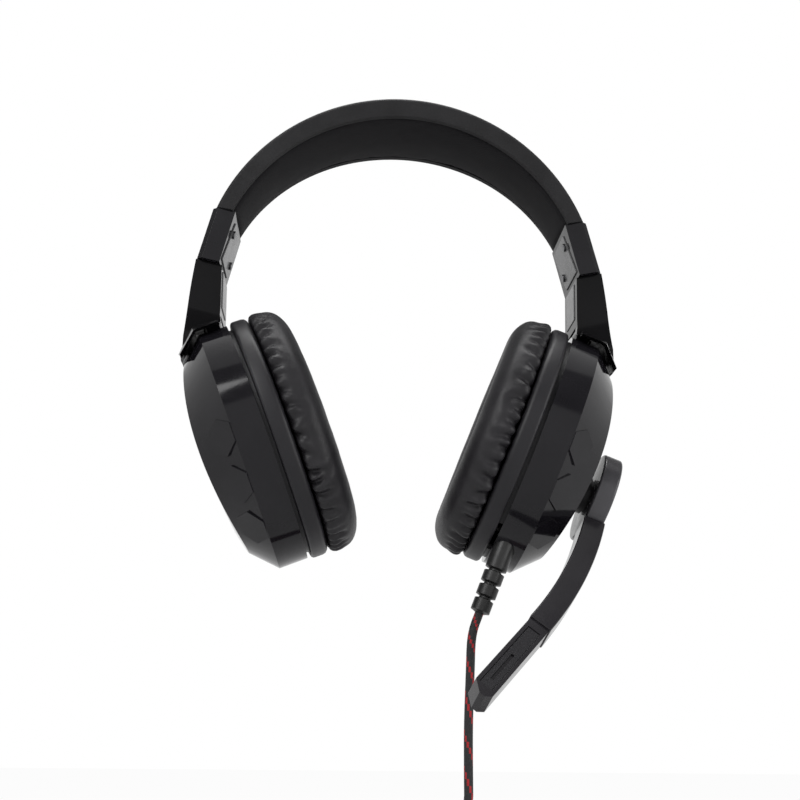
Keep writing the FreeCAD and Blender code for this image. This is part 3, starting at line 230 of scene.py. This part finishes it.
def moulded_plastic(name, colour, roughness, spread=0.04, texture=0.0, specular=0.3):
    """Moulded plastic: faint cloudiness in colour and gloss, and a spark-eroded texture where asked."""
    material, tree, shader = start_material(name, colour, roughness, specular=specular)
    where = coordinates(tree)
    cloud = noise_value(tree, where, CLOUD_SCALE, 4)
    light = tuple(channel * 1.25 + 0.002 for channel in colour)
    tree.links.new(two_colours(tree, cloud, colour, light), shader.inputs["Base Color"])
    handled = noise_value(tree, where, HANDLING_SCALE, 5)
    tree.links.new(remap(tree, handled, roughness - spread, roughness + spread), shader.inputs["Roughness"])
    if texture:
        bump(tree, shader, noise_value(tree, where, SPARK_SCALE, 2), texture)
    return material


def brushed_metal(name, colour, roughness):
    """Metal with fine lines across its object's Z."""
    material, tree, shader = start_material(name, colour, roughness, metallic=1.0)
    where = add(tree, "ShaderNodeMapping", Vector=coordinates(tree), Scale=BRUSH_SCALE).outputs[0]
    lines = noise_value(tree, where, 1.0, 2)
    tree.links.new(remap(tree, lines, roughness * 0.7, roughness * 1.4), shader.inputs["Roughness"])
    bump(tree, shader, lines, 0.01 * MM)
    return material


def leatherette(name, colour, roughness, grain):
    """Coated fabric: pebble grain with fine pores and slightly shinier high spots."""
    material, tree, shader = start_material(name, colour, roughness, specular=0.25)
    where = coordinates(tree)
    pebble = add(tree, "ShaderNodeTexVoronoi", Vector=where, Scale=grain, feature="SMOOTH_F1")
    pores = noise_value(tree, where, grain * 2.2, 3)
    height = calc(tree, "ADD", calc(tree, "MULTIPLY", pebble.outputs["Distance"], -0.8),
                  calc(tree, "MULTIPLY", pores, 0.35))
    cloud = noise_value(tree, where, FOLD_SHEEN_SCALE, 4)
    light = tuple(channel * 1.5 + 0.003 for channel in colour)
    tree.links.new(two_colours(tree, cloud, colour, light), shader.inputs["Base Color"])
    tree.links.new(remap(tree, pores, roughness - 0.08, roughness + 0.1), shader.inputs["Roughness"])
    bump(tree, shader, height, 0.05 * MM, 0.8)
    return material


def knitted_mesh(name, colour, pitch, depth=0.15 * MM, hole_shade=0.35):
    """Spacer mesh: staggered round holes in a matte knit, the holes darkened with painted shade."""
    material, tree, shader = start_material(name, colour, 0.85, specular=0.2)
    where = coordinates(tree)
    apart = tree.nodes.new("ShaderNodeSeparateXYZ")
    tree.links.new(where, apart.inputs[0])
    across = calc(tree, "MULTIPLY", apart.outputs["Y"], 2 * math.pi / pitch)
    length = calc(tree, "ADD", apart.outputs["X"], calc(tree, "MULTIPLY", apart.outputs["Z"], 0.6))
    along = calc(tree, "MULTIPLY", length, 2 * math.pi / (pitch * 1.6))
    hole = calc(tree, "MULTIPLY", calc(tree, "SINE", across), calc(tree, "SINE", along))
    yarn = noise_value(tree, where, YARN_SCALE, 2)
    height = calc(tree, "ADD", hole, calc(tree, "MULTIPLY", yarn, 0.4))
    # The holes are drawn darker than the knit round them: painted shade, at this share of the knit's colour.
    dark = tuple(channel * hole_shade for channel in colour)
    share = calc(tree, "ADD", calc(tree, "MULTIPLY", hole, 0.5), 0.5)
    tree.links.new(two_colours(tree, share, dark, colour, 0.25, 0.6), shader.inputs["Base Color"])
    bump(tree, shader, height, depth)
    return material


def braid(name, colour, fleck, turns_along, strands):
    """A braided jacket: two crossing sets of strands, one of them with a coloured tracer."""
    material, tree, shader = start_material(name, colour, 0.6, specular=0.3)
    apart = tree.nodes.new("ShaderNodeSeparateXYZ")
    tree.links.new(coordinates(tree, "UV"), apart.inputs[0])
    run = calc(tree, "MULTIPLY", apart.outputs["X"], turns_along)
    round_it = calc(tree, "MULTIPLY", apart.outputs["Y"], strands)
    first = calc(tree, "ADD", run, round_it)
    second = calc(tree, "SUBTRACT", run, round_it)
    ridges = [calc(tree, "PINGPONG", strand, 0.5) for strand in (first, second)]
    height = calc(tree, "MAXIMUM", *ridges)
    tracer = calc(tree, "LESS_THAN", calc(tree, "MODULO", calc(tree, "FLOOR", first), 3.0), 0.5)
    over = calc(tree, "GREATER_THAN", ridges[0], ridges[1])
    shown = calc(tree, "MULTIPLY", tracer, over)
    tree.links.new(two_colours(tree, shown, colour, fleck, 0.4, 0.6), shader.inputs["Base Color"])
    bump(tree, shader, height, 0.25 * MM)
    return material


band_leather = leatherette("band leather", (0.0046, 0.0044, 0.0051), 0.7, 1300)
band_mesh = knitted_mesh("band mesh", (0.0075, 0.0071, 0.0082), 1.1 * MM, 0.03 * MM, 0.75)
cushion_leather = leatherette("cushion leather", (0.0078, 0.0072, 0.0086), 0.46, 1000)
ear_cloth = knitted_mesh("ear cloth", (0.02, 0.02, 0.022), 1.4 * MM)
gloss_black = moulded_plastic("gloss black", (0.0052, 0.0048, 0.0062), 0.1, spread=0.03, specular=0.22)
# Painted shade: the arms are the same gloss black plastic as the housing, and this darker copy stands in for
# how dark they look where the light falls on them.
arm_painted_shade_black = moulded_plastic("arm black", (0.0022, 0.0021, 0.0025), 0.12, spread=0.03, specular=0.11)
# Painted reflection: the grey of the slider covers and arm liners stands in for the white surroundings
# mirrored in their glossy faces.
gloss_grey = moulded_plastic("gloss grey", (0.085, 0.085, 0.087), 0.25, spread=0.05)
satin_black = moulded_plastic("satin black", (0.009, 0.0085, 0.0102), 0.42, texture=0.006 * MM, specular=0.24)
# Painted reflection: the hub is gloss black like the housing, and this lighter copy stands in for the light
# its rim reflects.
hub_painted_reflection = moulded_plastic("hub black", (0.04, 0.039, 0.043), 0.2, specular=0.35)
screw_steel = brushed_metal("screw steel", (0.12, 0.12, 0.125), 0.35)
spring_steel = brushed_metal("spring steel", (0.5, 0.5, 0.52), 0.3)
magnet_steel = brushed_metal("magnet steel", (0.4, 0.4, 0.42), 0.25)
shaft_steel = brushed_metal("shaft steel", (0.55, 0.55, 0.57), 0.2)
capsule_metal = brushed_metal("capsule metal", (0.35, 0.35, 0.36), 0.3)
plug_plating = brushed_metal("plug plating", (0.72, 0.56, 0.28), 0.2)
lead_sheath = moulded_plastic("lead sheath", (0.02, 0.02, 0.02), 0.5)
diaphragm_film = moulded_plastic("diaphragm film", (0.28, 0.26, 0.22), 0.3)
# Painted light: the boom and its tip are gloss black like the housing, and this lighter copy stands in for
# the light they catch.
boom_painted_light = moulded_plastic("boom black", (0.013, 0.012, 0.014), 0.16, specular=0.26)
relief_rubber = moulded_plastic("relief rubber", (0.012, 0.012, 0.012), 0.38, texture=0.015 * MM)
plug_moulding = moulded_plastic("plug moulding", (0.014, 0.014, 0.014), 0.4, texture=0.02 * MM)
webbing = knitted_mesh("tie webbing", (0.02, 0.02, 0.02), 1.0 * MM)
cord_braid = braid("cord braid", (0.012, 0.012, 0.013), (0.28, 0.008, 0.012), 760.0, 6.0)

# Rigid pieces: each visible node gets rounded edges and smooth shading.
# node name, body, finish, slot, width of its edge rounding in millimetres
BOTH = ("right", "left")
rigid = []
for side in BOTH:
    rigid += [
        (f"slider_box_{side}", "headband", gloss_black, "gloss_black", 0.8),
        (f"slider_cover_{side}", "headband", gloss_grey, "gloss_grey", 0.25),
        (f"slider_screws_{side}", "headband", screw_steel, "screw_steel", 0.1),
        (f"slider_tongue_{side}", f"arm_{side}", spring_steel, "spring_steel", 0.15),
        (f"yoke_arm_{side}", f"arm_{side}", arm_painted_shade_black, "gloss_black", 0.35),
        (f"arm_liner_{side}", f"arm_{side}", gloss_grey, "gloss_grey", 0.3),
        (f"cup_housing_{side}", f"cup_{side}", gloss_black, "gloss_black", 0.3),
        (f"baffle_plate_{side}", f"cup_{side}", satin_black, "satin_black", 0.15),
    ]
rigid += [
    ("headband_cover", "headband", band_leather, "band_leatherette", 0.8),
    ("mic_base", "cup_right", satin_black, "satin_black", 0.3),
    ("mic_hub", "mic_boom", hub_painted_reflection, "gloss_black", 0.3),
    ("mic_boom_arm", "mic_boom", boom_painted_light, "gloss_black", 0.9),
    ("mic_tip", "mic_boom", boom_painted_light, "gloss_black", 0.9),
    ("mic_tip_panel", "mic_boom", satin_black, "satin_black", 0.2),
    ("strain_relief", "cup_right", relief_rubber, "relief_rubber", 0.15),
    ("plug_body", "cup_right", plug_moulding, "plug_moulding", 0.3),
    ("plug_pin", "cup_right", plug_plating, "plug_plating", 0.1),
    ("coil_tie", "cup_right", webbing, "tie_webbing", 0.2),
]
# Edges that turn by more than this many degrees are rounded. The ridge between a cup's side and its
# bevelled shoulder is blunter than other edges, and the arm's saddle has fine steps that stay as they are.
SHARP = 40
SHARP_FROM = {"cup_housing": 24, "yoke_arm": 60}
# Faces that meet at less than this many degrees are shaded as one surface.
SMOOTH = 32
SMOOTH_BELOW = {"yoke_arm": 3}

for node, body, finish, slot, width in rigid:
    kind = node.removesuffix("_right").removesuffix("_left")
    piece = copy_of(node, node + "_form")
    apply_modifier(piece, "BEVEL", width=width * MM, segments=3, limit_method="ANGLE",
                   angle_limit=math.radians(SHARP_FROM.get(kind, SHARP)), use_clamp_overlap=True)
    if kind == "yoke_arm":
        trim_lip(piece)
    smooth(piece, SMOOTH_BELOW.get(kind, SMOOTH))
    even_shading(piece)
    place(piece, body, finish, slot, node)

# Inner pieces keep the mesh that they have, and get a finish.
inner = [
    ("headband_spring", spring_steel),
    ("crossover_lead", lead_sheath),
    ("mic_pivot", shaft_steel),
    ("mic_washer", satin_black),
    ("mic_capsule", capsule_metal),
]
for side in BOTH:
    inner += [
        (f"detent_leaf_{side}", spring_steel),
        (f"hinge_pin_{side}", screw_steel),
        (f"driver_frame_{side}", satin_black),
        (f"driver_magnet_{side}", magnet_steel),
        (f"driver_diaphragm_{side}", diaphragm_film),
        (f"housing_screws_{side}", screw_steel),
    ]
for node, finish in inner:
    nodes[node].data.materials.clear()
    nodes[node].data.materials.append(finish)


# Cord: one line from the strain relief to the plug, its spare length wound and tied.
CORD_DIAMETER = 3.5 * MM
# Heights in the cup's frame, in millimetres.
RELIEF_TOP = -49.0
RELIEF_LENGTH = 27
RELIEF_END = Vector((5.2, -16, RELIEF_TOP - RELIEF_LENGTH)) * MM
COIL_CENTRE = Vector((27.2, -16, -340)) * MM
COIL_RADIUS = 22 * MM
COIL_PITCH = 4.65 * MM
COIL_STEPS = 6
LAYERS = 4
# Where the lead joins the coil, in degrees from +X towards +Z.
COIL_ENTRY = 135
# A quadratic spline runs inside its points, so they stand out by this much.
SPLINE_SPREAD = 1.017
POINTS_PER_HALF_TURN = 7
SOCKET_DEPTH = 6 * MM
STRAIGHT_RUN = 9 * MM
HANGING_POINTS = (Vector((28.3, -16.3, -242)) * MM, Vector((27.3, -16.2, -262)) * MM)
LEVEL_ABOVE_BEND = 20 * MM
TAIL_RUN = 16.6 * MM


def coil_angle(half_turns):
    return math.radians(COIL_ENTRY + 180 * half_turns)


def coil_stops():
    """Radius and layer after each half turn: in, a layer up, out, and so on."""
    radius = COIL_RADIUS + COIL_PITCH * COIL_STEPS / 4
    stops = [(radius, 0)]
    for layer in range(LAYERS):
        change = -COIL_PITCH / 2 if layer % 2 == 0 else COIL_PITCH / 2
        steps = COIL_STEPS if layer < LAYERS - 1 else COIL_STEPS - 1
        for _ in range(steps):
            radius += change
            stops.append((radius, layer))
        if layer < LAYERS - 1:
            stops.append((radius, layer + 1))
    return stops


def coil_point(half_turns):
    """A control point of the coil, so many half turns in from where the lead joins it."""
    stops = coil_stops()
    index = min(int(half_turns), len(stops) - 2)
    share = half_turns - index
    ease = share * share * (3 - 2 * share)
    radius = stops[index][0] + (stops[index + 1][0] - stops[index][0]) * ease
    layer = stops[index][1] + (stops[index + 1][1] - stops[index][1]) * ease
    turn = coil_angle(half_turns)
    out = Vector((math.cos(turn), 0, math.sin(turn)))
    return COIL_CENTRE + out * radius * SPLINE_SPREAD + Vector((0, layer * COIL_PITCH, 0))


half_turns = len(coil_stops()) - 1
exit_point = RIGHT_CUP @ RELIEF_END
down = (RIGHT_CUP.to_3x3() @ Vector((0, 0, -1))).normalized()
coil_start = coil_point(0)
lead_heading = Vector((-math.sin(coil_angle(0)), 0, math.cos(coil_angle(0))))
bend_height = coil_start.z + (COIL_CENTRE.x - coil_start.x)
route = [
    exit_point - down * SOCKET_DEPTH,
    exit_point,
    exit_point + down * STRAIGHT_RUN,
    *HANGING_POINTS,
    Vector((COIL_CENTRE.x, COIL_CENTRE.y, bend_height + LEVEL_ABOVE_BEND)),
    Vector((COIL_CENTRE.x, COIL_CENTRE.y, bend_height)),
    coil_start - lead_heading * CORD_DIAMETER,
]
coil_steps = half_turns * POINTS_PER_HALF_TURN
route += [coil_point(step / POINTS_PER_HALF_TURN) for step in range(coil_steps + 1)]
end_turn = coil_angle(half_turns)
end_heading = Vector((-math.sin(end_turn), 0, math.cos(end_turn)))
lead_out = route[-1] + end_heading * CORD_DIAMETER
plug_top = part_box("plug_body")[1][2]
turn_point = lead_out + end_heading * TAIL_RUN
route += [lead_out, turn_point, Vector((turn_point.x, turn_point.y, plug_top))]


def nurbs_line(name, points, diameter):
    """A round cord whose smooth line has these control points."""
    curve = bpy.data.curves.new(name, "CURVE")
    curve.dimensions = "3D"
    spline = curve.splines.new("NURBS")
    spline.points.add(len(points) - 1)
    for point, place_at in zip(spline.points, points):
        point.co = (*place_at, 1)
    spline.order_u = 3
    spline.use_endpoint_u = True
    spline.resolution_u = 4
    curve.bevel_depth = diameter / 2
    curve.bevel_resolution = 4
    curve.use_fill_caps = True
    piece = bpy.data.objects.new(name, curve)
    bpy.context.scene.collection.objects.link(piece)
    return piece


cord = nurbs_line("cord_line", route, CORD_DIAMETER)
place(cord, "cup_right", cord_braid, "cord_braid", "cord_drop", "cord_coil", "cord_tail")


# Ear cushions: a crowned ring, drawn in at the plate and gathered round its outer seam.
# Crease depth, and how much fuller the wall stands beside the plate, in millimetres.
CREASE = 1.7
BASE_FILL = 1.3
# Least and most of each gather: radians to the next, strength, width, reach up the wall and slant.
GATHER_STEP = (0.08, 0.16)
GATHER_STRENGTH = (0.45, 1.0)
GATHER_WIDTH = (0.75 * MM, 1.15 * MM)
GATHER_REACH = (0.35, 0.8)
GATHER_SLANT = (-0.1, 0.1)
GATHER_SEED = {"right": 8, "left": 6}
# A gather widens up the wall, has a low ridge on each side of it, and ends so many widths out.
GATHER_WIDENING = 1.2
RIDGE_HEIGHT = 0.4
RIDGE_APART = 2.2
GATHER_END = 4
# The moves fade in from the ring's middle outwards, off the plate, and the fill fades out up the wall.
OUTER_FROM, OUTER_TO = -0.02, 0.1
SEAT_FROM, SEAT_TO = -0.2 * MM, 1.0 * MM
FILL_FROM, FILL_TO = 0.05, 0.45
CUSHION_VOXEL = 1.2 * MM
PAD_VOXEL = 1.6 * MM
CUSHION_UNEVENNESS = 0.5
PAD_UNEVENNESS = 0.6
SOFT_SMOOTH = 80


def swell(value, low, high):
    """Rises smoothly from 0 at low to 1 at high."""
    share = max(0.0, min(1.0, (value - low) / (high - low)))
    return share * share * (3 - 2 * share)


def gathers_round(rng):
    """Creases round the seam: angle, depth, width, how far up the wall each runs, and its slant."""
    gathers = []
    angle = 0.0
    while angle < 2 * math.pi:
        gathers.append((angle, rng.uniform(*GATHER_STRENGTH), rng.uniform(*GATHER_WIDTH),
                        rng.uniform(*GATHER_REACH), rng.uniform(*GATHER_SLANT)))
        angle += rng.uniform(*GATHER_STEP)
    return gathers


def unevenness(spot, coarse, fine, shift=Vector((0, 0, 0))):
    """Soft lumps of the foam, broad ones and smaller ones, in shares of a millimetre."""
    return noise.noise(spot * coarse) * 0.4 + noise.noise(spot * fine + shift) * 0.15


def crease_depth(here, share, radius, gathers):
    """How deep the gathers are at this angle and this share of the way up the wall."""
    fold = 0.0
    for start, strength, width, length, slant in gathers:
        apart = (here - start - slant * share + math.pi) % (2 * math.pi) - math.pi
        across = apart * radius
        spread = width * (1 + GATHER_WIDENING * share)
        if abs(across) < GATHER_END * spread:
            fade = 1 - swell(share, length * 0.25, length)
            groove = math.exp(-(across / spread) ** 2)
            ridge = math.exp(-((abs(across) - RIDGE_APART * spread) / spread) ** 2)
            fold += strength * fade * (groove - RIDGE_HEIGHT * ridge)
    return fold


def cushion(side):
    """An ear cushion: its solid made soft, with gathers round its seam at the plate."""
    to_world = RIGHT_CUP if side == "right" else Matrix.Scale(-1, 4, (1, 0, 0)) @ RIGHT_CUP
    to_cup = to_world.inverted()
    piece = copy_of(f"ear_cushion_{side}", f"ear_cushion_{side}_form")
    apply_modifier(piece, "REMESH", mode="VOXEL", voxel_size=CUSHION_VOXEL)
    apply_modifier(piece, "SMOOTH", factor=0.5, iterations=5)
    apply_modifier(piece, "SUBSURF", levels=1, render_levels=1)
    gathers = gathers_round(random.Random(GATHER_SEED[side]))
    mesh = piece.data
    normals = [vertex.normal.copy() for vertex in mesh.vertices]
    turn = to_world.to_3x3()
    for vertex, normal in zip(mesh.vertices, normals):
        spot = to_cup @ vertex.co
        depth = EAR_FACE - spot.x
        share = depth / CUSHION_DEPTH
        reach = math.hypot(spot.y / CUSHION_SIZE[1], spot.z / CUSHION_SIZE[0]) * 2
        middle = 0.5 * (1 + EAR_SIZE[1] / CUSHION_SIZE[1])
        outside = swell(reach, middle + OUTER_FROM, middle + OUTER_TO)
        here = math.atan2(spot.y / CUSHION_SIZE[1], spot.z / CUSHION_SIZE[0]) % (2 * math.pi)
        radius = math.hypot(spot.y, spot.z)
        fold = crease_depth(here, share, radius, gathers)
        soft = unevenness(spot, 60, 170, Vector((5, 0, 0)))
        seated = swell(depth, SEAT_FROM, SEAT_TO)
        amount = (-CREASE * fold * outside + CUSHION_UNEVENNESS * soft) * seated
        fuller = BASE_FILL * outside * (1 - swell(share, FILL_FROM, FILL_TO)) * seated
        outward = (turn @ Vector((0, spot.y, spot.z))).normalized()
        vertex.co += normal * amount * MM + outward * fuller * MM
    smooth(piece, SOFT_SMOOTH)
    place(piece, f"cup_{side}", cushion_leather, "cushion_leatherette", f"ear_cushion_{side}")


def ear_sheet(side):
    """The cloth stretched over the driver, held at its rim by the cushion."""
    piece = copy_of(f"ear_mesh_{side}", f"ear_mesh_{side}_form")
    smooth(piece, SMOOTH)
    place(piece, f"cup_{side}", ear_cloth, "ear_cloth", f"ear_mesh_{side}")


def head_pad():
    """The fabric pad under the band, with the foam's slight unevenness."""
    piece = copy_of("headband_pad", "headband_pad_form")
    apply_modifier(piece, "REMESH", mode="VOXEL", voxel_size=PAD_VOXEL)
    apply_modifier(piece, "SMOOTH", factor=0.5, iterations=3)
    apply_modifier(piece, "SUBSURF", levels=1, render_levels=1)
    mesh = piece.data
    normals = [vertex.normal.copy() for vertex in mesh.vertices]
    for vertex, normal in zip(mesh.vertices, normals):
        vertex.co += normal * unevenness(vertex.co, 55, 160) * PAD_UNEVENNESS * MM
    smooth(piece, SOFT_SMOOTH)
    place(piece, "headband", band_mesh, "band_mesh", "headband_pad")


for side in BOTH:
    cushion(side)
    ear_sheet(side)
head_pad()


# Stage: white sweep, soft studio light, camera at the photograph's angle.
FLOOR_SIZE = 8
FLOOR_GAP = 1 * MM
FLOOR_GLOW = 0.95
STUDIO_LIGHT = 0.5
LIT_POINT = Vector((0, 0, -0.13))
# The flag's lower and upper edges as heights on the unit sphere, and how much it takes away.
FLAG_LOW, FLAG_HIGH, FLAG_DEPTH = 0.5, 0.86, 0.75


def backdrop_material():
    """Pale matte floor that reads as the white background and still takes a soft shadow."""
    material, tree, shader = start_material("backdrop", (0.8, 0.8, 0.8), 0.9)
    glow = add(tree, "ShaderNodeEmission", Color=(1, 1, 1, 1), Strength=1.0)
    rays = tree.nodes.new("ShaderNodeLightPath").outputs
    seen = calc(tree, "MAXIMUM", calc(tree, "MAXIMUM", rays["Is Camera Ray"], rays["Is Glossy Ray"]),
                rays["Is Transmission Ray"])
    mix = tree.nodes.new("ShaderNodeMixShader")
    tree.links.new(calc(tree, "MULTIPLY", seen, FLOOR_GLOW), mix.inputs[0])
    tree.links.new(shader.outputs[0], mix.inputs[1])
    tree.links.new(glow.outputs[0], mix.inputs[2])
    tree.links.new(mix.outputs[0], tree.nodes["Material Output"].inputs["Surface"])
    return material


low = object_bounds()[0][2]
bpy.ops.mesh.primitive_plane_add(size=FLOOR_SIZE, location=(0, 0, low - FLOOR_GAP))
floor = bpy.context.object
floor.name = "floor"
floor.data.materials.append(backdrop_material())

world = bpy.context.scene.world or bpy.data.worlds.new("studio")
bpy.context.scene.world = world
world.use_nodes = True
tree = world.node_tree
background = tree.nodes["Background"]
background.inputs["Color"].default_value = (1, 1, 1, 1)
rays = tree.nodes.new("ShaderNodeLightPath").outputs
seen = calc(tree, "MAXIMUM", rays["Is Camera Ray"], rays["Is Transmission Ray"])
mirrored = calc(tree, "MAXIMUM", seen, rays["Is Glossy Ray"])
strength = calc(tree, "ADD", calc(tree, "MULTIPLY", mirrored, 1 - STUDIO_LIGHT), STUDIO_LIGHT)
# A dark flag high in front, met by reflections only, gives the gloss its dark patches.
heading = tree.nodes.new("ShaderNodeSeparateXYZ")
tree.links.new(coordinates(tree, "Generated"), heading.inputs[0])
above = calc(tree, "GREATER_THAN", heading.outputs["Z"], FLAG_LOW)
below = calc(tree, "LESS_THAN", heading.outputs["Z"], FLAG_HIGH)
flag = calc(tree, "MULTIPLY", calc(tree, "MULTIPLY", above, below), rays["Is Glossy Ray"])
tree.links.new(calc(tree, "SUBTRACT", strength, calc(tree, "MULTIPLY", flag, FLAG_DEPTH)),
               background.inputs["Strength"])


def softbox(name, location, size, power):
    """A rectangular lamp turned to the middle of the headset."""
    light = bpy.data.lights.new(name, "AREA")
    light.shape = "RECTANGLE"
    light.size, light.size_y = size
    light.energy = power
    holder = bpy.data.objects.new(name, light)
    bpy.context.scene.collection.objects.link(holder)
    holder.location = location
    aim = LIT_POINT - Vector(location)
    holder.rotation_euler = aim.to_track_quat("-Z", "Y").to_euler()


softbox("key", (-0.7, -0.9, 0.6), (0.6, 0.6), 9)
softbox("fill", (0.9, -0.7, 0.1), (0.4, 0.9), 5)
softbox("top", (0, 0.1, 0.9), (0.8, 0.5), 8)

# Camera model read from the photograph: distance, angles, and scale in pixels.
ELEVATION = math.radians(-18)
AZIMUTH = math.radians(-3.5)
ROLL = math.radians(0.6)
DISTANCE = 0.45
TARGET = Vector((0.0009, 0, -0.128))
FRAME_PIXELS = 800
FOCAL_PIXELS = 1035
SENSOR_WIDTH = 36
back = Vector((math.sin(AZIMUTH) * math.cos(ELEVATION), -math.cos(AZIMUTH) * math.cos(ELEVATION),
               math.sin(ELEVATION)))
lens = bpy.data.cameras.new("camera")
lens.sensor_width = SENSOR_WIDTH
lens.lens = FOCAL_PIXELS / FRAME_PIXELS * lens.sensor_width
lens.clip_start = 0.01
camera = bpy.data.objects.new("camera", lens)
bpy.context.scene.collection.objects.link(camera)
camera.location = TARGET + back * DISTANCE
camera.rotation_euler = (back.to_track_quat("Z", "Y").to_matrix() @ Matrix.Rotation(ROLL, 3, "Z")).to_euler()
bpy.context.scene.camera = camera
bpy.context.scene.view_settings.view_transform = "Standard"
